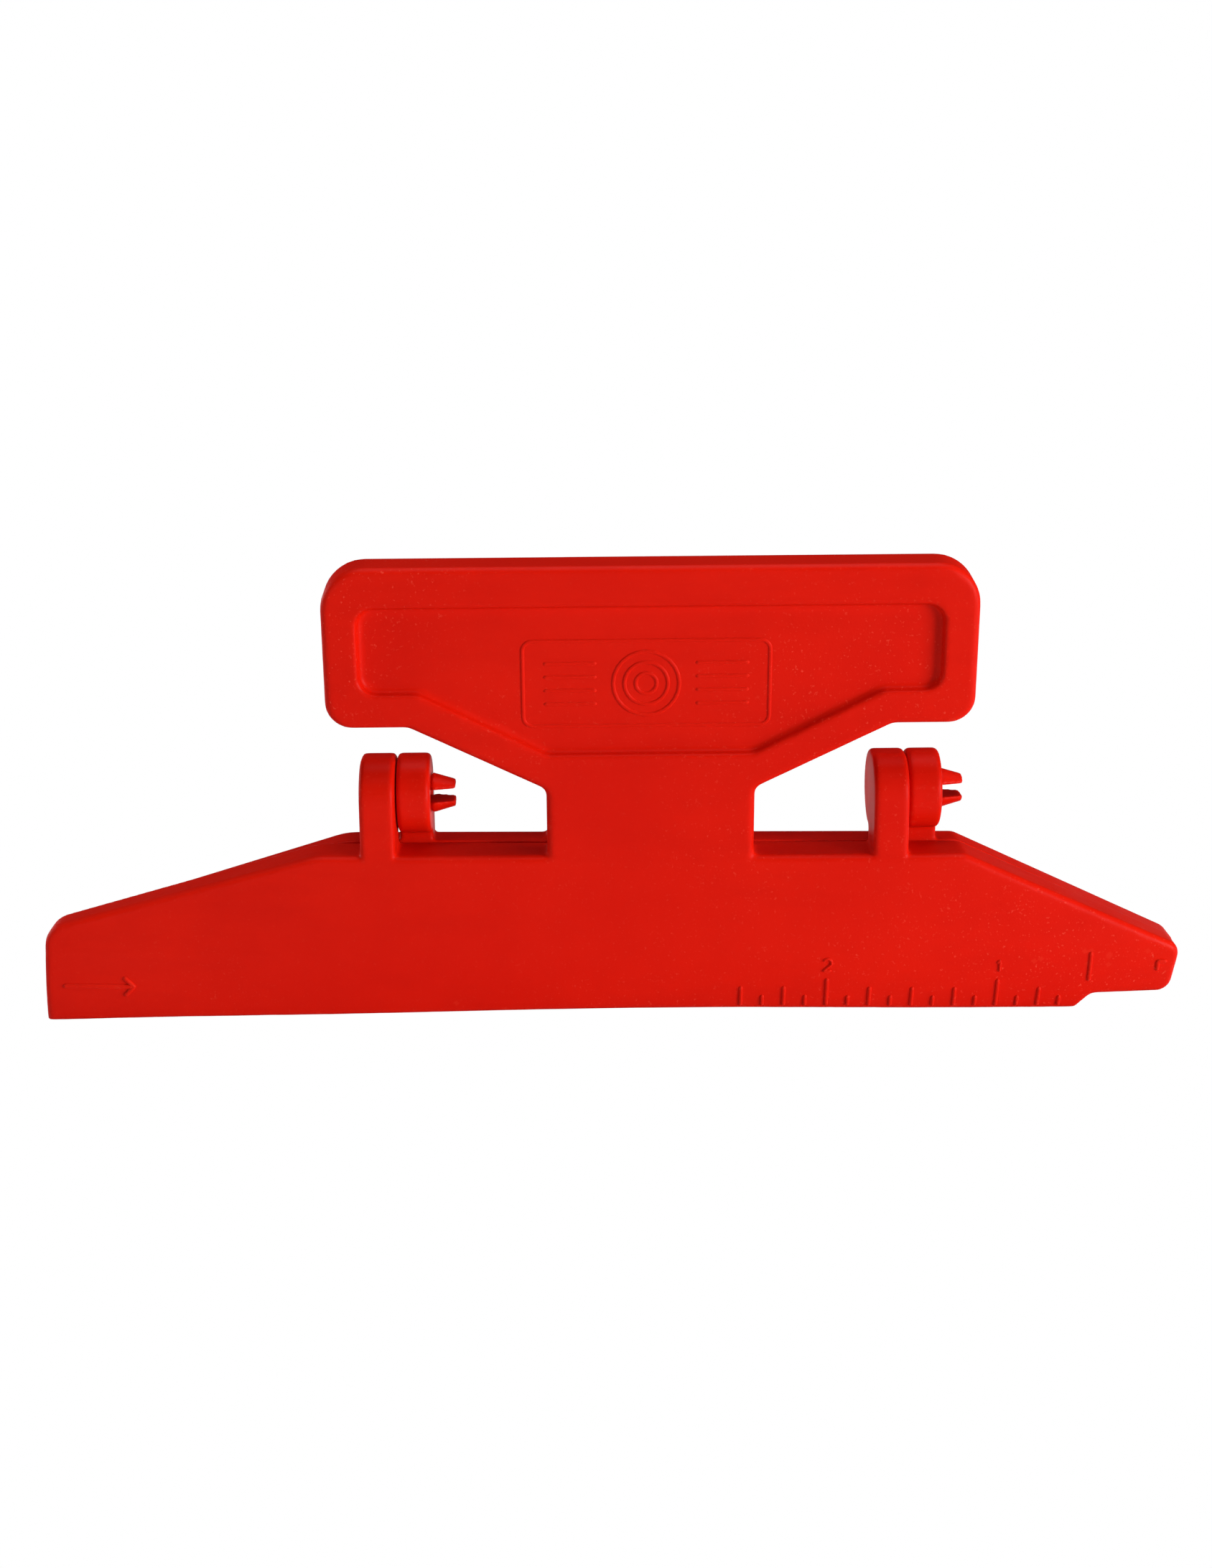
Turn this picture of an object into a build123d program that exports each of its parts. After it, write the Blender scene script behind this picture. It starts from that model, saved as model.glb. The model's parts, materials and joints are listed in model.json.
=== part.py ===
"""Clamp of an arrow fletching jig: two moulded halves on snap pins, closed by a spring.

The parts are drawn round the hinge axis: x runs along the jaws from the neck's middle,
y towards the back and z up, in millimetres. The whole clamp is then set on its base.
"""

import os
from math import cos, hypot, radians, sqrt, tan

from build123d import *

FRONT, REAR = -1, 1  # which way each half lies from the parting surface
FROM_BASE = (Align.CENTER, Align.CENTER, Align.MIN)

# Jaw bars, below the ledge
LEDGE_Z = -8.15
LEDGE_LEFT_Z = {FRONT: -7.55, REAR: -7.35}  # the ledge rises a little to the left
BAR_LEFT, BAR_LEFT_FOOT = -89.6, -90.2
BAR_RIGHT = {FRONT: 78.3, REAR: 79.1}
THICKNESS = {FRONT: 7.9, REAR: 5.9}
SKIN_Y, SKIN_FACING = 3.0, 0.9  # a bar's outer skin lies further out than this, and faces outwards
PARTING_GAP = 0.15  # each half stands this far back from the parting surface
BACK_STOCK = 1.0  # the rear blank is this much thicker, and cut back to one flat face
NOTCH_START, NOTCH_END, NOTCH_Z = 63.4, 65.6, -31.0
BOTTOM_Z, BOTTOM_ARCH = -31.95, 1.6
SLANT_RIGHT, RIGHT_FOOT = 45.5, 77.4
RIGHT_SHOULDER_Z = {FRONT: -23.3, REAR: -24.0}
NOTCH_R, RIGHT_FOOT_R, RIGHT_SHOULDER_R, LEFT_SHOULDER_R = 1.6, 2.2, 2.2, 3.8
SLANT_R, SLANT_LEFT_R = 2.0, 10.0
SLANT_LEFT = {FRONT: -49.0, REAR: -45.5}
LEFT_SLOPE = {FRONT: 0.279, REAR: 0.305}
TIP_THIN, THIN_FROM = 3.0, 42.0  # the front bar gets thinner towards both ends
LIP_TOP_Z, LIP_DEPTH, LIP_TAPER = -22.5, 9.1, 1.5  # the front lip curves inwards, to the feather
TWIST = 0.015  # sideways swing of the lips at the bottom, per millimetre along x
BLANK_TOP_Z, BLANK_FLOOR_Z = -4.0, -37.0  # blanks are made this tall and trimmed
TRIM_DEPTH = 30.0  # cutting prisms reach this far to both sides
BLANK_STATIONS = (-93, -77, -61, -45, -15, 15, 42, 54, 67, 81)  # none at 0, where the lip is straight

# Neck and handles
NECK_HALF, NECK_SUNK = 15.0, 2.0  # the neck reaches this far down into the bar
NECK_ROOT_R, NECK_ROOT_REACH = 0.8, 1.8  # the inner corners on the ledge, found within this reach
HANDLE_HALF, WING_HALF = 46.15, 34.5
HANDLE_SHIFT = -0.3  # the neck and handle stand a little left of the hinge's middle
HANDLE_TOP_Z = {FRONT: 35.4, REAR: 32.2}
WING_Z, SHOULDER_Z = 12.0, 2.4
SHOULDER_R, WING_R, HANDLE_FOOT_R, HANDLE_TOP_R = 1.6, 2.5, 3.8, 6.2
HANDLE_LEAN = 6.6
PLATE = {FRONT: 6.4, REAR: 5.0}
RECESS_DEPTH, RECESS_CORNER_R = 1.5, 2.6
RECESS_FLOOR_R, RECESS_RIM_R = 0.9, 0.5
RECESS_LOW_Z, RECESS_WING_Z, RECESS_RIM = 7.8, 17.0, 5.8
RECESS_LOW_HALF, RECESS_WING_HALF, RECESS_HALF = 14.8, 33.0, 41.2

# Hinge
KNUCKLE_R = THICKNESS[REAR]  # the knuckles run tangent into the flat back
LUG_SUNK, LUG_RIM_R = 3.0, 0.7
LUG_WIDTH, KNUCKLE_WIDTH, SIDE_GAP = 5.1, 4.9, 0.15
LUG_STARTS = (-42.45, 32.15)
PIN_R, PIN_CLEARANCE, PIN_SUNK = 2.5, 0.06, 1.0
BARB_R, BARB_LENGTH, BARB_TIP_R = 3.0, 3.4, 2.0
SLOT_HEIGHT, SLOT_LENGTH = 1.8, 7.5

# Closing spring
SPRING_Z = 17.5
SPRING_R, WIRE_R, SPRING_TURNS = 5.3, 0.55, 4.5
SEAT_R, SEAT_DEPTH, STUB_R, STUB_HEIGHT = 6.6, 1.5, 4.2, 1.8
SPRING_PLAY = 0.1

# Steel discs in the back, by which a jig's magnets hold the clamp
DISC_R, DISC_THICK = 5.0, 2.0
DISC_PLACES = {"left": -52.0, "right": 48.0}
DISC_Z = -18.5

EDGE_R = 1.0


def tip_thinning(x):
    """How much thinner the front bar is at x than at the neck."""
    beyond = max(0.0, abs(x) - THIN_FROM) / (-BAR_LEFT - THIN_FROM)
    return TIP_THIN * beyond**1.3


def lip_taper(depth):
    """How far the front skin has curved inwards at this depth below the lip's top."""
    radius = (LIP_DEPTH**2 + LIP_TAPER**2) / (2 * LIP_TAPER)
    return radius - sqrt(radius**2 - depth**2)


def bar_section(x, half):
    """Closed outline of one bar's blank at x, in y and z."""
    inner = half * PARTING_GAP
    outer = half * THICKNESS[half]
    depth = LIP_TOP_Z - BLANK_FLOOR_Z
    swing = TWIST * x * depth / LIP_DEPTH
    if half == FRONT:
        outer += tip_thinning(x)
        toe = (outer + lip_taper(depth) + swing, BLANK_FLOOR_Z)
        bend = (outer + lip_taper(depth / 2) + swing / 2, LIP_TOP_Z - depth / 2)
        skin = ThreePointArc(toe, bend, (outer, LIP_TOP_Z))
    else:
        outer += BACK_STOCK
        toe = (outer, BLANK_FLOOR_Z)
        skin = Line(toe, (outer, LIP_TOP_Z))
    sides = Polyline(
        (outer, LIP_TOP_Z),
        (outer, BLANK_TOP_Z),
        (inner, BLANK_TOP_Z),
        (inner, LIP_TOP_Z),
        (inner + swing, BLANK_FLOOR_Z),
        toe,
    )
    plane = Plane(origin=(x, 0, 0), x_dir=(0, 1, 0), z_dir=(1, 0, 0))
    return plane * make_face(sides + skin)


def bar_outline(half):
    """Front view of a bar: ledge, two slants, both ends, the notch and the arched foot."""
    foot_z = BOTTOM_Z - BOTTOM_ARCH
    left_z = LEDGE_LEFT_Z[half] - LEFT_SLOPE[half] * (SLANT_LEFT[half] - BAR_LEFT)
    arch_middle = (BAR_LEFT_FOOT + NOTCH_START) / 2
    arch = ThreePointArc((BAR_LEFT_FOOT, foot_z), (arch_middle, BOTTOM_Z), (NOTCH_START, foot_z))
    sides = Polyline(
        (NOTCH_START, foot_z),
        (NOTCH_END, NOTCH_Z),
        (RIGHT_FOOT, NOTCH_Z),
        (BAR_RIGHT[half], RIGHT_SHOULDER_Z[half]),
        (SLANT_RIGHT, LEDGE_Z),
        (SLANT_LEFT[half], LEDGE_LEFT_Z[half]),
        (BAR_LEFT, left_z),
        (BAR_LEFT_FOOT, foot_z),
    )
    corners = {
        (NOTCH_END, NOTCH_Z): NOTCH_R,
        (RIGHT_FOOT, NOTCH_Z): RIGHT_FOOT_R,
        (BAR_RIGHT[half], RIGHT_SHOULDER_Z[half]): RIGHT_SHOULDER_R,
        (SLANT_RIGHT, LEDGE_Z): SLANT_R,
        (SLANT_LEFT[half], LEDGE_LEFT_Z[half]): SLANT_LEFT_R,
        (BAR_LEFT, left_z): LEFT_SHOULDER_R,
    }
    return round_outline(make_face(arch + sides), corners)


def round_outline(face, corners):
    """Rounds the named corners of a flat outline."""
    for (x, y), radius in corners.items():
        nearest = min(face.vertices(), key=lambda v: hypot(v.X - x, v.Y - y))
        face = fillet([nearest], radius)
    return face


def jaw_bar(half):
    """One twisted bar, trimmed to its outline."""
    blank = loft([bar_section(x, half) for x in BLANK_STATIONS])
    outline = Plane.XZ * bar_outline(half)
    bar = blank & extrude(outline, TRIM_DEPTH, both=True)
    if half == REAR:
        bar = split(bar, Plane.XZ.offset(-THICKNESS[REAR]), keep=Keep.TOP)
    return fillet(rim_edges(bar, half), EDGE_R)


def rim_edges(bar, half):
    """The edges all round a bar's outer skin, which may be two faces with a seam between them."""
    outward = [f for f in bar.faces() if half * f.center().Y > SKIN_Y]
    skin = [f for f in outward if abs(f.normal_at().Y) > SKIN_FACING]
    edges = [e for f in skin for e in f.edges()]
    return [e for e in edges if sum(e.is_same(other) for other in edges) == 1]


def plate_plane(half):
    """The leaning outer face of a handle plate, with its own origin on the ledge."""
    origin = (HANDLE_SHIFT, half * THICKNESS[half], LEDGE_Z)
    lean = Plane(origin=origin, x_dir=(1, 0, 0), z_dir=(0, -1, 0))
    return lean.rotated((half * -HANDLE_LEAN, 0, 0))


def up_plate(z):
    """How far up the leaning plate a height lies."""
    return (z - LEDGE_Z) / cos(radians(HANDLE_LEAN))


def mirrored_outline(right):
    """A closed outline from the points of its right half."""
    left = [(-x, y) for x, y in reversed(right)]
    return make_face(Polyline(*right, *left, close=True))


def handle_outline(half):
    """Neck and T-shaped handle, seen square to the plate."""
    right = [
        (NECK_HALF, -NECK_SUNK),
        (NECK_HALF, up_plate(SHOULDER_Z)),
        (WING_HALF, up_plate(WING_Z)),
        (HANDLE_HALF, up_plate(WING_Z)),
        (HANDLE_HALF, up_plate(HANDLE_TOP_Z[half])),
    ]
    radii = (SHOULDER_R, WING_R, HANDLE_FOOT_R, HANDLE_TOP_R)
    corners = {(side * x, y): r for (x, y), r in zip(right[1:], radii) for side in (1, -1)}
    return round_outline(mirrored_outline(right), corners)


def recess_outline(half):
    """Shallow panel in a handle, seen square to the plate."""
    right = [
        (RECESS_LOW_HALF, up_plate(RECESS_LOW_Z)),
        (RECESS_WING_HALF, up_plate(RECESS_WING_Z)),
        (RECESS_HALF, up_plate(RECESS_WING_Z)),
        (RECESS_HALF, up_plate(HANDLE_TOP_Z[half] - RECESS_RIM)),
    ]
    outline = mirrored_outline(right)
    return fillet(outline.vertices(), RECESS_CORNER_R)


def handle_plate(half):
    """Neck and handle of one half, with rounded rims and a shallow panel in its outer face."""
    plane = plate_plane(half)
    plate = extrude(plane * handle_outline(half), half * PLATE[half])
    across = Axis(plane.origin, plane.z_dir)
    plate = fillet(plate.edges() - plate.edges().filter_by(across), EDGE_R)
    panel = extrude(plane * recess_outline(half), half * RECESS_DEPTH)
    floor = panel.faces().filter_by(across).sort_by_distance(plane.origin)[-1]
    plate -= fillet(floor.edges(), RECESS_FLOOR_R)
    skin = max(plate.faces().filter_by(across), key=lambda face: len(face.inner_wires()))
    return fillet(skin.inner_wires()[0].edges(), RECESS_RIM_R)


def knuckle(half, start, width):
    """A hinge lug: a disc round the hinge axis on a foot that stands on the bar."""
    outer = half * THICKNESS[half]
    inner = half * 2 * PARTING_GAP
    foot_z = LEDGE_Z - LUG_SUNK
    foot = Polyline((outer, foot_z), (outer, 0), (inner, 0), (inner, foot_z), close=True)
    profile = make_face(foot) + Circle(KNUCKLE_R)
    if half == FRONT:  # this lug reaches further out than the disc, so its crown is wider
        crown = outer + KNUCKLE_R
        profile += Pos(crown, 0) * Circle(KNUCKLE_R)
        profile += Pos(crown / 2, KNUCKLE_R / 2) * Rectangle(-crown, KNUCKLE_R)
    plane = Plane(origin=(start, 0, 0), x_dir=(0, 1, 0), z_dir=(1, 0, 0))
    lug = extrude(plane * profile, width)
    rims = [e for e in lug.faces().filter_by(Axis.X).edges() if e.center().Z > foot_z]
    return fillet([e for e in rims if abs(e.center().Y - inner) > LUG_RIM_R], LUG_RIM_R)


def snap_pin(start):
    """A pin moulded on a front lug, split and barbed where it leaves the rear knuckle."""
    root = start + LUG_WIDTH
    shoulder = root + KNUCKLE_WIDTH + 2 * SIDE_GAP
    tip = shoulder + BARB_LENGTH
    across = Rot(0, 90, 0)
    length = shoulder - root + PIN_SUNK
    shank = Pos(root - PIN_SUNK, 0, 0) * across * Cylinder(PIN_R, length, align=FROM_BASE)
    barb = Pos(shoulder, 0, 0) * across * Cone(BARB_R, BARB_TIP_R, BARB_LENGTH, align=FROM_BASE)
    slot = Pos(tip - SLOT_LENGTH / 2, 0, 0) * Box(SLOT_LENGTH, 4 * BARB_R, SLOT_HEIGHT)
    return shank + barb - slot


def seat_y(half):
    """Where the floor of a spring seat lies."""
    lean = radians(HANDLE_LEAN)
    rise = (SPRING_Z - LEDGE_Z) * tan(lean)
    return half * (THICKNESS[half] + rise - PLATE[half] / cos(lean) + SEAT_DEPTH)


def spring_seat(half):
    """The round pocket for one end of the spring, with a stud left standing in it."""
    into = Rot(90 * half, 0, 0)
    place = Pos(0, seat_y(half), SPRING_Z) * into
    pocket = Cylinder(SEAT_R, 3 * SEAT_DEPTH, align=FROM_BASE)
    stud = Cylinder(STUB_R, STUB_HEIGHT, align=FROM_BASE)
    return place * pocket, place * stud


def neck_root_edges(body):
    """The edges in both inner corners where the neck stands on the ledge."""
    low = [e for e in body.edges() if abs(e.center().Z - LEDGE_Z) < NECK_ROOT_REACH]
    off_neck = [abs(abs(e.center().X - HANDLE_SHIFT) - NECK_HALF) for e in low]
    return [e for e, distance in zip(low, off_neck) if distance < NECK_ROOT_REACH]


def half_body(half):
    """One bar with its neck and handle, and the seat for the spring."""
    pocket, stud = spring_seat(half)
    body = jaw_bar(half) + handle_plate(half)
    return fillet(neck_root_edges(body), NECK_ROOT_R) - pocket + stud


def front_jaw():
    """The front moulding, with its two lugs and snap pins."""
    body = half_body(FRONT)
    for start in LUG_STARTS:
        body = body + knuckle(FRONT, start, LUG_WIDTH) + snap_pin(start)
    return body


def rear_jaw():
    """The rear moulding, with bored knuckles and two pockets for the steel discs."""
    body = half_body(REAR)
    for start in LUG_STARTS:
        left = start + LUG_WIDTH + SIDE_GAP
        bore = Pos(left + KNUCKLE_WIDTH / 2, 0, 0) * Rot(0, 90, 0)
        body += knuckle(REAR, left, KNUCKLE_WIDTH)
        body -= bore * Cylinder(PIN_R + PIN_CLEARANCE, 2 * KNUCKLE_WIDTH)
    for x in DISC_PLACES.values():
        body -= keeper_disc(x)
    return body


def keeper_disc(x):
    """A steel disc, flush with the flat back of the rear bar."""
    centre = Pos(x, THICKNESS[REAR] - DISC_THICK / 2, DISC_Z)
    return centre * Rot(90, 0, 0) * Cylinder(DISC_R, DISC_THICK)


def closing_spring():
    """A plain coil between the two seats."""
    low, high = seat_y(FRONT), seat_y(REAR)
    length = high - low - 2 * (WIRE_R + SPRING_PLAY)
    coil = Helix(length / SPRING_TURNS, length, SPRING_R)
    wire = sweep(Plane(origin=coil @ 0, z_dir=coil % 0) * Circle(WIRE_R), path=coil)
    return Pos(0, low + WIRE_R + SPRING_PLAY, SPRING_Z) * Rot(-90, 0, 0) * wire


def main():
    nodes = {"front_jaw": front_jaw(), "rear_jaw": rear_jaw(), "closing_spring": closing_spring()}
    for side, x in DISC_PLACES.items():
        nodes["keeper_disc_" + side] = keeper_disc(x)
    boxes = [shape.bounding_box() for shape in nodes.values()]
    middle_x = (min(b.min.X for b in boxes) + max(b.max.X for b in boxes)) / 2
    middle_y = (min(b.min.Y for b in boxes) + max(b.max.Y for b in boxes)) / 2
    onto_base = Pos(-middle_x, -middle_y, -min(b.min.Z for b in boxes))
    os.makedirs("parts", exist_ok=True)
    for name, shape in nodes.items():
        export_step(onto_base * shape, f"parts/{name}.step")
    print("the hinge axis stands at", onto_base.position)


main()
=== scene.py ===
import json
from math import cos, hypot, pi, radians, sin

import bmesh
import bpy
from mathutils import Matrix, Vector
from mathutils.bvhtree import BVHTree


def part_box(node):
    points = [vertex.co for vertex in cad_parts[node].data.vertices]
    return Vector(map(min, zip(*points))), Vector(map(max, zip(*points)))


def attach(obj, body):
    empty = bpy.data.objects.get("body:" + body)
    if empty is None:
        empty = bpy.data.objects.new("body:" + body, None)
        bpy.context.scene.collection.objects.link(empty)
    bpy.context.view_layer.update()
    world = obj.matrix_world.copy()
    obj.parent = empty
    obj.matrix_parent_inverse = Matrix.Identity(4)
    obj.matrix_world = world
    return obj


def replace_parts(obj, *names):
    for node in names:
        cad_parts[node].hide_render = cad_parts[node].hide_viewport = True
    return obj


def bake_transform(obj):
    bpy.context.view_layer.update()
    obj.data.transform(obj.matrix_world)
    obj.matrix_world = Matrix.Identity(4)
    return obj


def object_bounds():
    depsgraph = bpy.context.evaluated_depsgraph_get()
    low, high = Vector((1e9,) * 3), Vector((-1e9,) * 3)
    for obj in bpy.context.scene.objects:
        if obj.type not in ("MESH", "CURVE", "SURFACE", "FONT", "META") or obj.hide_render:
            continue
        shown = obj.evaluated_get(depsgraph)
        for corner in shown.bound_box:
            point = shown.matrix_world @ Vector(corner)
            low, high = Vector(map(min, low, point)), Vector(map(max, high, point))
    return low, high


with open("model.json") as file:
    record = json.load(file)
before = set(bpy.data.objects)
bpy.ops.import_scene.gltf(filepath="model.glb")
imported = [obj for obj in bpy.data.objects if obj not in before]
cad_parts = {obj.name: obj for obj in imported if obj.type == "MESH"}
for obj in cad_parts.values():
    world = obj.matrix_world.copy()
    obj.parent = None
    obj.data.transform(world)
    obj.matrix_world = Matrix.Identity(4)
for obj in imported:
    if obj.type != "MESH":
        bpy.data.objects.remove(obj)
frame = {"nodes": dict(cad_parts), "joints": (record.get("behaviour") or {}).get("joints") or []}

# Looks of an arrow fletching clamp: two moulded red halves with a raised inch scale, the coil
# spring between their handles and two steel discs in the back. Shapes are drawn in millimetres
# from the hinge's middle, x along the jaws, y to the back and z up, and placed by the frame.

CAD_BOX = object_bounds()
MM = 0.001
HINGE = Vector(frame["joints"][0]["pos_m"])

# Moulded skins
VOXEL = 0.34 * MM  # the even mesh that each CAD half is turned into
SOFTENING = 3  # smoothing passes, which round every edge as a mould does

# Colours of the red plastic: its clouds, flow lines, a painted highlight on the edges and specks
RED_DEEP, RED_FULL = (0.65, 0.0065, 0.0010), (0.70, 0.0085, 0.0015)
# The second colour on the next line is a painted highlight: a paler, greyer red for the sheen of
# light on edges.
RED_FLOW, RED_EDGE_SHEEN = (0.58, 0.0055, 0.0010), (0.72, 0.028, 0.012)
RED_SPECK = (0.84, 0.10, 0.06)

# Colours of the spring's wire and of the discs' plating
WIRE_DARK, WIRE_BRIGHT = (0.34, 0.33, 0.32), (0.58, 0.57, 0.56)
ZINC_DULL, ZINC_BRIGHT = (0.50, 0.51, 0.53), (0.68, 0.68, 0.68)

# Raised scale, in eighths of an inch from a zero near the notched end
EIGHTH = 25.4 / 8
SCALE_ZERO = 76.5
SCALE_FIRST, SCALE_LAST = 5, 20  # eighths that carry a mark
MARK_HEIGHTS = {1: 2.5, 2: 4.0, 8: 5.4}  # every eighth, every quarter and every inch
FOOT_ARCH = (-31.95, 1.6, -13.4, 76.8)  # top, rise, middle and half length of the arched foot
MARK_WIDTH, MARK_RELIEF = 0.62, 0.3
MARK_START = 0.6  # how far above the foot a mark begins
HALF_INCH_MARK = [(64.8, -28.6), (64.8, -23.6)]
CORNER_MARK = [(75.0, -27.2), (75.0, -25.6), (76.4, -25.6)]
DIGIT_WIDTH, DIGIT_HEIGHT, DIGIT_GAP = 1.2, 1.9, 1.2

# Arrow at the left end
ARROW_TAIL, ARROW_TIP, ARROW_Z = -87.2, -76.6, -27.6
ARROW_WIDTH, ARROW_BARB = 0.7, 1.5

# Panel in the front handle
EMBLEM_X, EMBLEM_Z = (-18.4, 16.6), (11.9, 24.5)
EMBLEM_CORNER, CORNER_STEPS = 1.4, 6
LINE_WIDTH, LINE_RELIEF = 0.6, 0.16
TARGET_RADII, TARGET_POINTS = (1.5, 3.1, 4.7), 24
BAR_FROM, BAR_TO = 7.0, 14.6  # from the panel's middle, on both sides
BAR_RISES = (-3, -1, 1, 3)

# Spring between the handles
SPRING_Z, SPRING_R, WIRE_R = 17.5, 5.3, 0.55
SPRING_ENDS = (-5.28, 4.68)  # where the wire's middle starts and stops
ACTIVE_TURNS, CLOSED_TURNS = 3.0, 0.75  # open turns, and closed ones at each end
SECTIONS_PER_TURN, WIRE_SIDES = 40, 16

# Steel discs in the back
DIMPLE = [(0, 0.16), (0.5, 0.1), (0.8, 0.0)]  # radius, and depth below the face
TURNING_RINGS, GROOVE_WIDTH, GROOVE_DEPTH = 9, 0.12, 0.03
RINGS_LEAVE = 1.3  # radius without rings: the dimple's, and a plain band at the rim
RIM_GAP, FACE_CHAMFER = 0.05, 0.3
BACK_CHAMFER_R, BACK_CHAMFER_DEPTH, BACK_GAP = 0.3, 0.2, 0.02
DISC_SIDES = 96

# Camera, from the hinge's middle
EYE_DISTANCE, EYE_ELEVATION, EYE_X, EYE_RAISE = 345.0, 14.8, -10.0, 1.0
EYE_YAW, EYE_ROLL = 0.58, 0.44
LENS, SENSOR = 53.74, 36.0

# Studio, whose floor and sky show white but cast a weaker light on the clamp
FLOOR_GREY, SKY_LIGHT = 0.9, 0.03
FLOOR_REACH, FLOOR_GAP = 6.0, 0.0001  # metres
LAMPS = (  # name, place in millimetres from the hinge, size in metres, watts
    ("key", (680, -470, 0), 0.4, 11.1),
    ("overhead", (60, -60, 930), 0.8, 5.6),
    ("left_front", (-420, -900, 0), 0.26, 0.9),
    ("left_side", (-800, -20, 80), 0.4, 1.2),
    ("left_back", (-850, 480, 60), 0.4, 3.0),
)


def at(x, y, z):
    """A point given in millimetres from the hinge's middle, in the frame."""
    return HINGE + Vector((x, y, z)) * MM


def piece_of(name, mesh, material, body):
    """A shown piece from a finished mesh, in place, that rides on a CAD body."""
    mesh.materials.clear()
    mesh.materials.append(material)
    for polygon in mesh.polygons:
        polygon.use_smooth = True
    piece = bpy.data.objects.new(name, mesh)
    bpy.context.scene.collection.objects.link(piece)
    if body:
        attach(piece, body)
    return piece


# ---------------------------------------------------------------- materials


class Nodes:
    """Short calls for the node tree of one material."""

    def __init__(self, name):
        self.material = bpy.data.materials.new(name)
        self.material.use_nodes = True
        self.tree = self.material.node_tree
        self.shader = self.tree.nodes["Principled BSDF"]
        self.place = self.tree.nodes.new("ShaderNodeTexCoord").outputs["Object"]

    def link(self, source, target):
        self.tree.links.new(source, target)

    def noise(self, scale, detail=4.0, rough=0.55, stretch=(1, 1, 1)):
        """Noise over the object, with features about 1 / scale metres wide."""
        mapping = self.tree.nodes.new("ShaderNodeMapping")
        mapping.inputs["Scale"].default_value = stretch
        self.link(self.place, mapping.inputs["Vector"])
        node = self.tree.nodes.new("ShaderNodeTexNoise")
        node.inputs["Scale"].default_value = scale
        node.inputs["Detail"].default_value = detail
        node.inputs["Roughness"].default_value = rough
        self.link(mapping.outputs["Vector"], node.inputs["Vector"])
        return node.outputs["Fac"]

    def spread(self, source, low, high, to_low, to_high):
        """Stretches a band of values over another band, and holds the rest at its ends."""
        node = self.tree.nodes.new("ShaderNodeMapRange")
        values = (low, high, to_low, to_high)
        for name, value in zip(("From Min", "From Max", "To Min", "To Max"), values):
            node.inputs[name].default_value = value
        self.link(source, node.inputs["Value"])
        return node.outputs["Result"]

    def scaled(self, first, second):
        """One value times another."""
        node = self.tree.nodes.new("ShaderNodeMath")
        node.operation = "MULTIPLY"
        self.link(first, node.inputs[0])
        self.link(second, node.inputs[1])
        return node.outputs["Value"]

    def mix(self, factor, first, second):
        """Colour that goes from first to second; either may be a plain colour or a socket."""
        node = self.tree.nodes.new("ShaderNodeMix")
        node.data_type = "RGBA"
        self.link(factor, node.inputs["Factor"])
        for value, socket in ((first, node.inputs["A"]), (second, node.inputs["B"])):
            if isinstance(value, tuple):
                socket.default_value = (*value, 1.0)
            else:
                self.link(value, socket)
        return node.outputs["Result"]

    def bump(self, height, distance, strength, normal=None):
        """Small relief for the light, on top of another relief if one is given."""
        node = self.tree.nodes.new("ShaderNodeBump")
        node.inputs["Distance"].default_value = distance
        node.inputs["Strength"].default_value = strength
        self.link(height, node.inputs["Height"])
        if normal:
            self.link(normal, node.inputs["Normal"])
        return node.outputs["Normal"]


def red_plastic():
    """Moulded plastic: cloudy colour, a painted pale highlight on the edges, specks and a fine
    grain.
    """
    n = Nodes("red_plastic")
    clouds = n.spread(n.noise(38, 3), 0.35, 0.65, 0, 1)
    colour = n.mix(clouds, RED_DEEP, RED_FULL)
    flow = n.spread(n.noise(120, 5, 0.6, (0.25, 1, 1)), 0.5, 0.8, 0, 0.5)
    colour = n.mix(flow, colour, RED_FLOW)
    edges = n.tree.nodes.new("ShaderNodeNewGeometry").outputs["Pointiness"]
    # Painted highlight: convex edges, found by pointiness, get the paler, greyer red of a sheen
    # of light.
    edge_sheen = n.spread(edges, 0.53, 0.60, 0, 0.35)
    colour = n.mix(edge_sheen, colour, RED_EDGE_SHEEN)
    patches = n.spread(n.noise(21, 2, 0.5), 0.42, 0.62, 0.15, 1)
    specks = n.spread(n.noise(2300, 2, 0.5), 0.63, 0.76, 0, 0.42)
    dusted = n.scaled(specks, patches)
    colour = n.mix(dusted, colour, RED_SPECK)
    n.link(colour, n.shader.inputs["Base Color"])
    n.link(n.spread(n.noise(90, 4), 0.3, 0.7, 0.36, 0.48), n.shader.inputs["Roughness"])
    waves = n.bump(n.noise(55, 2), 0.0006, 0.35)
    grain = n.bump(n.noise(2600, 3, 0.6), 0.00004, 0.5, waves)
    n.link(grain, n.shader.inputs["Normal"])
    n.shader.inputs["IOR"].default_value = 1.49
    n.shader.inputs["Specular IOR Level"].default_value = 0.07
    return n.material


def spring_steel():
    """Drawn wire with dark and bright streaks."""
    n = Nodes("spring_steel")
    streaks = n.spread(n.noise(900, 4, 0.6, (1, 3, 1)), 0.35, 0.7, 0, 1)
    n.link(n.mix(streaks, WIRE_DARK, WIRE_BRIGHT), n.shader.inputs["Base Color"])
    n.shader.inputs["Metallic"].default_value = 1.0
    n.link(n.spread(streaks, 0, 1, 0.38, 0.24), n.shader.inputs["Roughness"])
    n.link(n.bump(streaks, 0.00002, 0.4), n.shader.inputs["Normal"])
    return n.material


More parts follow.
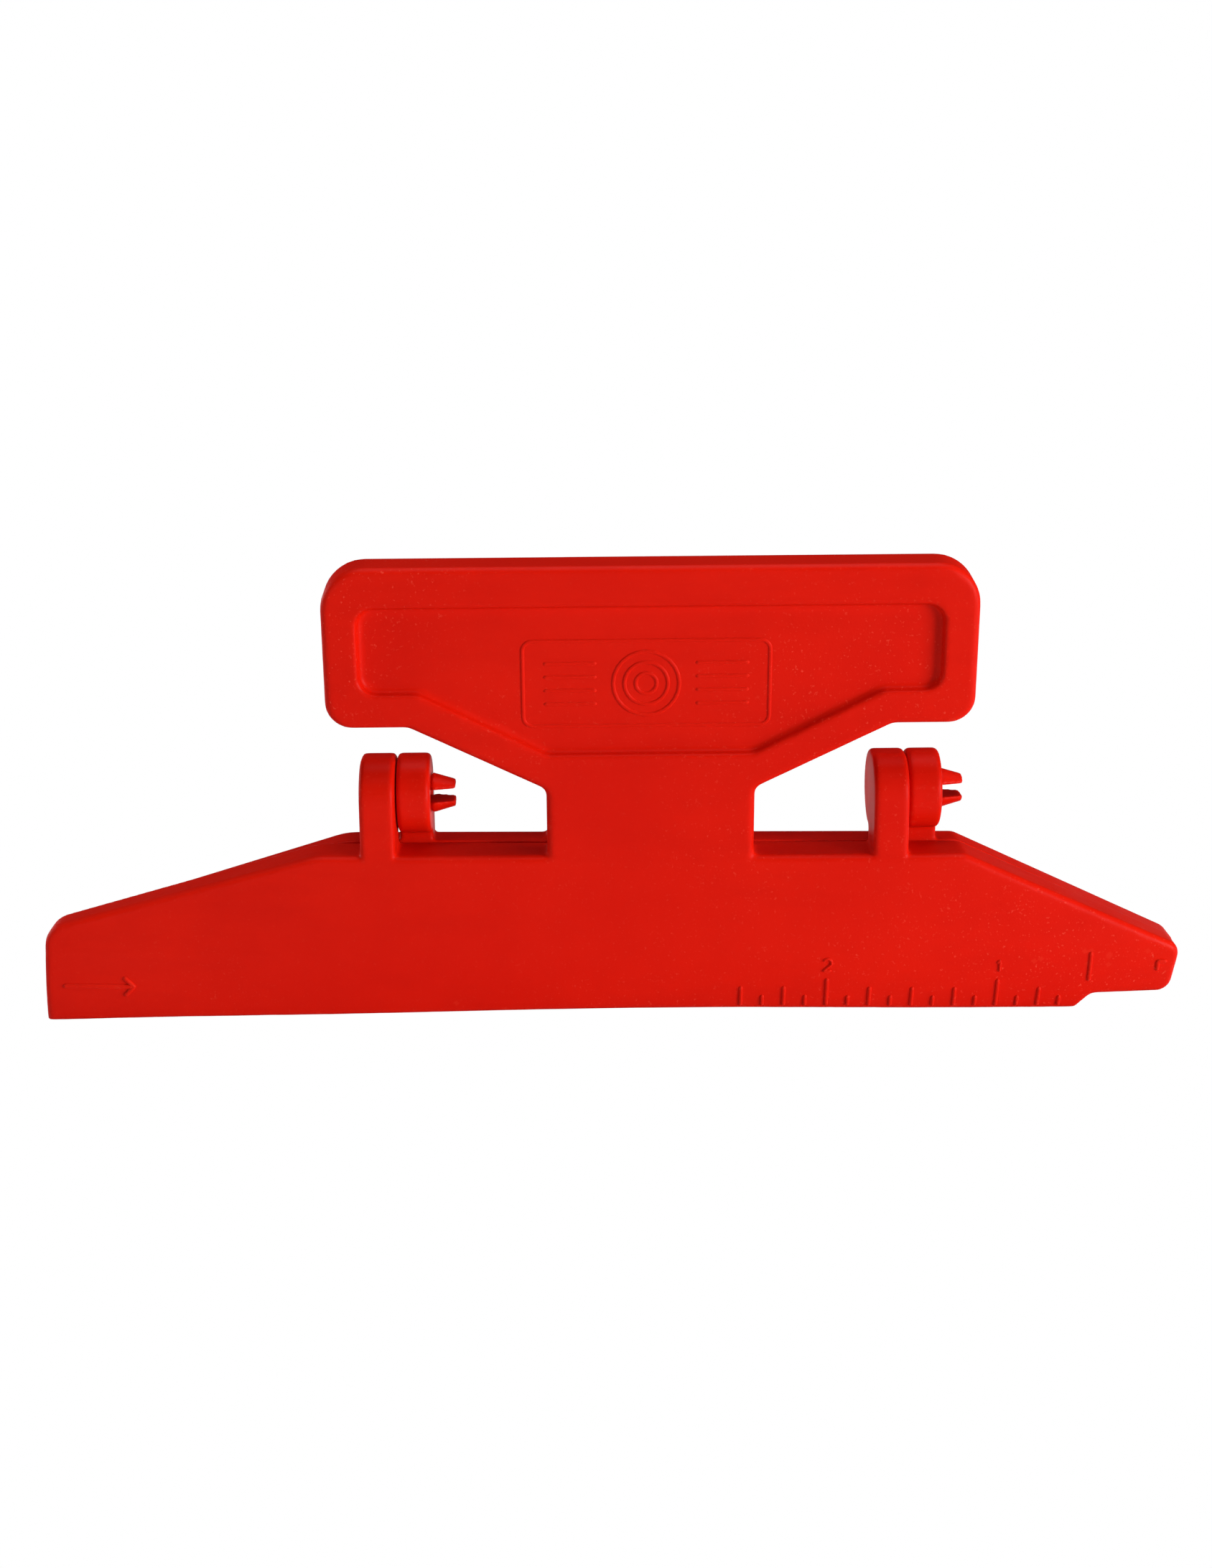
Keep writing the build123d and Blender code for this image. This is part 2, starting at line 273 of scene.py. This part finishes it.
def plated_steel():
    """Mottled zinc plating; the turning rings are in the disc's mesh."""
    n = Nodes("plated_steel")
    mottle = n.spread(n.noise(700, 5, 0.65), 0.35, 0.7, 0, 1)
    n.link(n.mix(mottle, ZINC_DULL, ZINC_BRIGHT), n.shader.inputs["Base Color"])
    n.shader.inputs["Metallic"].default_value = 1.0
    n.link(n.spread(mottle, 0, 1, 0.42, 0.28), n.shader.inputs["Roughness"])
    n.link(n.bump(n.noise(3000, 3), 0.00001, 0.5), n.shader.inputs["Normal"])
    return n.material


# ---------------------------------------------------------------- moulded halves


def moulded_mesh(node):
    """A CAD node's shape as an even mesh that lies on its faces and has soft edges."""
    cad = frame["nodes"][node]
    work = bpy.data.objects.new("work", cad.data.copy())
    bpy.context.scene.collection.objects.link(work)
    remesh = work.modifiers.new("even", "REMESH")
    remesh.mode = "VOXEL"
    remesh.voxel_size = VOXEL
    shrink = work.modifiers.new("onto_faces", "SHRINKWRAP")
    shrink.target = cad
    smooth = work.modifiers.new("soft", "SMOOTH")
    smooth.factor = 0.5
    smooth.iterations = SOFTENING
    graph = bpy.context.evaluated_depsgraph_get()
    mesh = bpy.data.meshes.new_from_object(work.evaluated_get(graph))
    bpy.data.objects.remove(work)
    return mesh


def moulded_half(node, body, material):
    """One red half, shown in place of its CAD node."""
    piece = piece_of(node + "_moulding", moulded_mesh(node), material, body)
    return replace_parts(piece, node)


# ---------------------------------------------------------------- raised marks


class Relief:
    """Soft raised lines that follow the front skin, collected in one mesh."""

    SECTION = 7  # points across a line, from one sunk edge over the top to the other
    STEP = 0.25  # spacing of sections along a line
    SUNK = 0.12  # how deep a line's edges lie in the skin
    FULLNESS = 0.6  # power of the section's curve; a smaller one gives a flatter top
    END_WIDTH = 0.25  # least share of the width, at a line's very ends
    FROM_FRONT = -60  # y from which the skin is looked for

    def __init__(self, skin, width, relief):
        self.bm = bmesh.new()
        self.skin = skin
        self.width, self.relief = width, relief

    def on_skin(self, x, z, out):
        """The point that stands out millimetres in front of the skin at x and z."""
        start = at(x, self.FROM_FRONT, z)
        place, normal, _, _ = self.skin.ray_cast(start, Vector((0, 1, 0)))
        if place is None:
            raise ValueError(f"no skin behind {x:.1f}, {z:.1f}")
        return place + normal * out * MM

    def line(self, points, closed=False):
        """A raised line along points (x, z), with rounded ends unless it closes on itself."""
        path = self.resampled(points, closed)
        count = len(path)
        rings = []
        for i, (x, z) in enumerate(path):
            before = path[i - 1] if closed or i else path[0]
            after = path[(i + 1) % count] if closed or i < count - 1 else path[-1]
            dx, dz = after[0] - before[0], after[1] - before[1]
            length = hypot(dx, dz)
            across = (-dz / length, dx / length)
            taper = 1.0 if closed else self.taper(i, count)
            section = [self.section_point(x, z, across, k, taper) for k in range(self.SECTION)]
            rings.append(section)
        pairs = zip(rings, rings[1:] + rings[:1]) if closed else zip(rings, rings[1:])
        for low, high in pairs:
            for k in range(self.SECTION):
                k2 = (k + 1) % self.SECTION
                self.bm.faces.new((low[k], low[k2], high[k2], high[k]))
        if not closed:
            self.bm.faces.new(reversed(rings[0]))
            self.bm.faces.new(rings[-1])

    def taper(self, i, count):
        """Share of the full width near a line's ends."""
        reach = self.width / 2 / self.STEP
        inward = min(i, count - 1 - i) / reach
        return 1.0 if inward >= 1 else max(self.END_WIDTH, (1 - (1 - inward) ** 2) ** 0.5)

    def section_point(self, x, z, across, k, taper):
        """Point k of the section of a line at x and z."""
        turn = pi * k / (self.SECTION - 1)
        side = cos(turn) * self.width / 2 * taper
        out = -self.SUNK + (self.relief * taper + self.SUNK) * sin(turn) ** self.FULLNESS
        return self.bm.verts.new(self.on_skin(x + across[0] * side, z + across[1] * side, out))

    def resampled(self, points, closed):
        """The same path with sections at even steps."""
        corners = list(points) + ([points[0]] if closed else [])
        path = []
        for (x1, z1), (x2, z2) in zip(corners, corners[1:]):
            count = max(1, round(hypot(x2 - x1, z2 - z1) / self.STEP))
            for i in range(count):
                path.append((x1 + (x2 - x1) * i / count, z1 + (z2 - z1) * i / count))
        return path if closed else path + [corners[-1]]

    def finish(self, name, material):
        """All lines so far as one piece on the front half."""
        bmesh.ops.recalc_face_normals(self.bm, faces=self.bm.faces)
        mesh = bpy.data.meshes.new(name)
        self.bm.to_mesh(mesh)
        self.bm.free()
        return piece_of(name, mesh, material, "front")


def arc(x, z, radius, start, stop, count=14):
    """Points along a circle's arc, with angles in degrees from +x towards +z."""
    turns = [radians(start + (stop - start) * i / count) for i in range(count + 1)]
    return [(x + radius * cos(t), z + radius * sin(t)) for t in turns]


def foot_z(x):
    """Height of the arched foot of the jaws."""
    top, rise, middle, half = FOOT_ARCH
    return top - rise * ((x - middle) / half) ** 2


def scale_marks(skin, material):
    """A mark at every eighth of an inch, longer at the quarters and longest at the inches."""
    relief = Relief(skin, MARK_WIDTH, MARK_RELIEF)
    for eighth in range(SCALE_FIRST, SCALE_LAST + 1):
        x = SCALE_ZERO - eighth * EIGHTH
        height = MARK_HEIGHTS[max(step for step in MARK_HEIGHTS if eighth % step == 0)]
        low = foot_z(x) + MARK_START
        relief.line([(x, low), (x, foot_z(x) + height)])
    relief.line(HALF_INCH_MARK)
    relief.line(CORNER_MARK)
    return relief.finish("scale_marks", material)


def scale_digits(skin, material):
    """The numbers one and two over their inch marks, drawn with plain strokes."""
    relief = Relief(skin, DIGIT_WIDTH / 3, MARK_RELIEF)
    half, full = DIGIT_WIDTH / 2, DIGIT_HEIGHT
    one = [(-half * 0.6, full * 0.75), (0.1, full), (0.1, 0.0)]
    two = arc(0, full - half, half, 160, -30) + [(-half, 0.0), (half, 0.0)]
    for inch, strokes in ((1, one), (2, two)):
        x = SCALE_ZERO - inch * 8 * EIGHTH
        z = foot_z(x) + MARK_HEIGHTS[8] + DIGIT_GAP
        relief.line([(x + dx, z + dz) for dx, dz in strokes])
    return relief.finish("scale_digits", material)


def direction_arrow(skin, material):
    """A plain arrow at the left end, which points to the right."""
    relief = Relief(skin, ARROW_WIDTH, MARK_RELIEF)
    tip, z, barb = ARROW_TIP, ARROW_Z, ARROW_BARB
    relief.line([(ARROW_TAIL, z), (tip, z)])
    relief.line([(tip - barb, z + barb), (tip, z), (tip - barb, z - barb)])
    return relief.finish("direction_arrow", material)


def handle_emblem(skin, material):
    """A plain framed panel in the handle: rings of a target between two sets of bars."""
    relief = Relief(skin, LINE_WIDTH, LINE_RELIEF)
    (left, right), (low, high) = EMBLEM_X, EMBLEM_Z
    corner, steps = EMBLEM_CORNER, CORNER_STEPS
    frame_line = (
        arc(right - corner, high - corner, corner, 90, 0, steps)
        + arc(right - corner, low + corner, corner, 0, -90, steps)
        + arc(left + corner, low + corner, corner, -90, -180, steps)
        + arc(left + corner, high - corner, corner, 180, 90, steps)
    )
    relief.line(frame_line, closed=True)
    x, z = (left + right) / 2, (low + high) / 2
    last = 360 - 360 / TARGET_POINTS
    for radius in TARGET_RADII:
        relief.line(arc(x, z, radius, 0, last, TARGET_POINTS - 1), closed=True)
    for side in (-1, 1):
        for rise in BAR_RISES:
            relief.line([(x + side * BAR_FROM, z + rise), (x + side * BAR_TO, z + rise)])
    return relief.finish("handle_emblem", material)


# ---------------------------------------------------------------- spring and discs


def wire_path():
    """The spring's centre line: closed turns at both ends and open ones between."""
    turns = ACTIVE_TURNS + 2 * CLOSED_TURNS
    low, high = SPRING_ENDS
    closed_rise = 2 * WIRE_R * CLOSED_TURNS
    count = int(turns * SECTIONS_PER_TURN)
    path = []
    for i in range(count + 1):
        turn = turns * i / count
        if turn < CLOSED_TURNS:
            y = low + 2 * WIRE_R * turn
        elif turn > turns - CLOSED_TURNS:
            y = high - 2 * WIRE_R * (turns - turn)
        else:
            share = (turn - CLOSED_TURNS) / ACTIVE_TURNS
            y = low + closed_rise + (high - low - 2 * closed_rise) * share
        angle = 2 * pi * turn
        path.append(at(SPRING_R * cos(angle), y, SPRING_Z + SPRING_R * sin(angle)))
    return path


def coil_spring(material):
    """A round wire swept along the path, with cut ends, that runs across the hinge from one
    handle to the other.
    """
    path, around = wire_path(), WIRE_SIDES
    axis = Vector((0, 1, 0))
    bm = bmesh.new()
    rings = []
    for i, place in enumerate(path):
        along = (path[min(i + 1, len(path) - 1)] - path[max(i - 1, 0)]).normalized()
        side = along.cross(axis).normalized()
        top = side.cross(along)
        ring = []
        for k in range(around):
            t = 2 * pi * k / around
            ring.append(bm.verts.new(place + (side * cos(t) + top * sin(t)) * WIRE_R * MM))
        rings.append(ring)
    for low, high in zip(rings, rings[1:]):
        for k in range(around):
            k2 = (k + 1) % around
            bm.faces.new((low[k], low[k2], high[k2], high[k]))
    bm.faces.new(reversed(rings[0]))
    bm.faces.new(rings[-1])
    bmesh.ops.recalc_face_normals(bm, faces=bm.faces)
    mesh = bpy.data.meshes.new("coil_spring")
    bm.to_mesh(mesh)
    bm.free()
    piece = piece_of("coil_spring", mesh, material, None)
    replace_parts(piece, "closing_spring")
    low, high = SPRING_ENDS
    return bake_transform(piece)


def disc_profile(wide, deep):
    """Radii and depths from the middle of a disc's face over its rim to the back."""
    profile = list(DIMPLE)
    dimple_r = DIMPLE[-1][0]
    for i in range(1, TURNING_RINGS + 1):
        r = dimple_r + (wide - RINGS_LEAVE) * i / TURNING_RINGS
        profile += [(r - GROOVE_WIDTH, GROOVE_DEPTH), (r, 0.0)]
    rim, back = wide - RIM_GAP, deep - BACK_GAP
    profile += [(rim, FACE_CHAMFER), (rim, deep - BACK_CHAMFER_DEPTH)]
    return profile + [(wide - BACK_CHAMFER_R, back), (0, back)]


def steel_disc(side, material):
    """A keeper disc with a chamfered rim, turning rings and a centre dimple."""
    node = "keeper_disc_" + side
    low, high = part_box(node)
    middle = (low + high) / 2
    radius = (high.x - low.x) / 2
    wide, deep = radius / MM, (high.y - low.y) / MM
    around = DISC_SIDES
    turns = [2 * pi * k / around for k in range(around)]
    bm = bmesh.new()
    columns = []
    for r, depth in disc_profile(wide, deep):
        y = high.y - depth * MM
        if r == 0:
            columns.append([bm.verts.new((middle.x, y, middle.z))])
            continue
        column = []
        for t in turns:
            x, z = middle.x + r * MM * cos(t), middle.z + r * MM * sin(t)
            column.append(bm.verts.new((x, y, z)))
        columns.append(column)
    for inner, outer in zip(columns, columns[1:]):
        for k in range(around):
            k2 = (k + 1) % around
            near = (inner[k % len(inner)], outer[k % len(outer)])
            far = (outer[k2 % len(outer)], inner[k2 % len(inner)])
            bm.faces.new(dict.fromkeys(near + far))
    bmesh.ops.recalc_face_normals(bm, faces=bm.faces)
    mesh = bpy.data.meshes.new(node + "_turned")
    bm.to_mesh(mesh)
    bm.free()
    piece = piece_of(node + "_turned", mesh, material, "rear")
    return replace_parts(piece, node)


# ---------------------------------------------------------------- studio


def camera():
    """The view from the front, a little above the hinge."""
    lift, yaw, roll = radians(EYE_ELEVATION), radians(EYE_YAW), radians(EYE_ROLL)
    forward = Vector((sin(yaw) * cos(lift), cos(yaw) * cos(lift), -sin(lift)))
    level = Vector((cos(yaw), -sin(yaw), 0))
    upright = level.cross(forward)
    right = level * cos(roll) - upright * sin(roll)
    up = upright * cos(roll) + level * sin(roll)
    data = bpy.data.cameras.new("camera")
    data.lens, data.sensor_width = LENS, SENSOR
    data.clip_start, data.clip_end = 0.01, 20
    eye = bpy.data.objects.new("camera", data)
    turn = Matrix((right, up, -forward)).transposed().to_4x4()
    place = at(EYE_X, -EYE_DISTANCE * cos(lift), EYE_DISTANCE * sin(lift) + EYE_RAISE)
    eye.matrix_world = Matrix.Translation(place) @ turn
    bpy.context.scene.collection.objects.link(eye)
    bpy.context.scene.camera = eye


def softbox(name, place, size, watts):
    """A square lamp that faces the middle of the clamp."""
    data = bpy.data.lights.new(name, "AREA")
    data.shape, data.size, data.energy = "SQUARE", size, watts
    lamp = bpy.data.objects.new(name, data)
    lamp.location = place
    lamp.rotation_euler = (at(0, 0, 0) - lamp.location).to_track_quat("-Z", "Y").to_euler()
    bpy.context.scene.collection.objects.link(lamp)


def seen_and_cast(tree, output, seen, cast):
    """Sends one shader to the camera's own rays and another to all other rays."""
    rays = tree.nodes.new("ShaderNodeLightPath")
    choice = tree.nodes.new("ShaderNodeMixShader")
    tree.links.new(rays.outputs["Is Camera Ray"], choice.inputs["Fac"])
    tree.links.new(cast, choice.inputs[1])
    tree.links.new(seen, choice.inputs[2])
    tree.links.new(choice.outputs["Shader"], output.inputs["Surface"])


def glow(tree, kind, strength):
    """A plain white emission or background shader."""
    node = tree.nodes.new(kind)
    node.inputs["Color"].default_value = (1, 1, 1, 1)
    node.inputs["Strength"].default_value = strength
    return node


def floor():
    """A wide white sheet that casts a weaker light on the clamp than it shows."""
    n = Nodes("white_floor")
    n.shader.inputs["Base Color"].default_value = (*[FLOOR_GREY] * 3, 1)
    n.shader.inputs["Roughness"].default_value = 1.0
    n.shader.inputs["Specular IOR Level"].default_value = 0.0
    shown = glow(n.tree, "ShaderNodeEmission", 1.0).outputs["Emission"]
    output = n.tree.nodes["Material Output"]
    seen_and_cast(n.tree, output, shown, n.shader.outputs["BSDF"])
    reach = FLOOR_REACH
    mesh = bpy.data.meshes.new("floor")
    corners = [(-reach, -reach, 0), (reach, -reach, 0), (reach, reach, 0), (-reach, reach, 0)]
    mesh.from_pydata(corners, [], [(0, 1, 2, 3)])
    mesh.materials.append(n.material)
    sheet = bpy.data.objects.new("floor", mesh)
    sheet.location.z = CAD_BOX[0].z - FLOOR_GAP
    bpy.context.scene.collection.objects.link(sheet)


def sky():
    """A surround that shows white, and is dim for the light on the clamp."""
    world = bpy.data.worlds.new("studio")
    world.use_nodes = True
    tree = world.node_tree
    tree.nodes.remove(tree.nodes["Background"])
    shown = glow(tree, "ShaderNodeBackground", 1.0).outputs["Background"]
    cast = glow(tree, "ShaderNodeBackground", SKY_LIGHT).outputs["Background"]
    seen_and_cast(tree, tree.nodes["World Output"], shown, cast)
    bpy.context.scene.world = world


red = red_plastic()
front = moulded_half("front_jaw", "front", red)
moulded_half("rear_jaw", "rear", red)
front_skin = BVHTree.FromObject(front, bpy.context.evaluated_depsgraph_get())
scale_marks(front_skin, red)
scale_digits(front_skin, red)
direction_arrow(front_skin, red)
handle_emblem(front_skin, red)
coil_spring(spring_steel())
disc_metal = plated_steel()
for side in ("left", "right"):
    steel_disc(side, disc_metal)

camera()
floor()
sky()
for name, place, size, watts in LAMPS:
    softbox(name, at(*place), size, watts)
bpy.context.scene.view_settings.view_transform = "Standard"
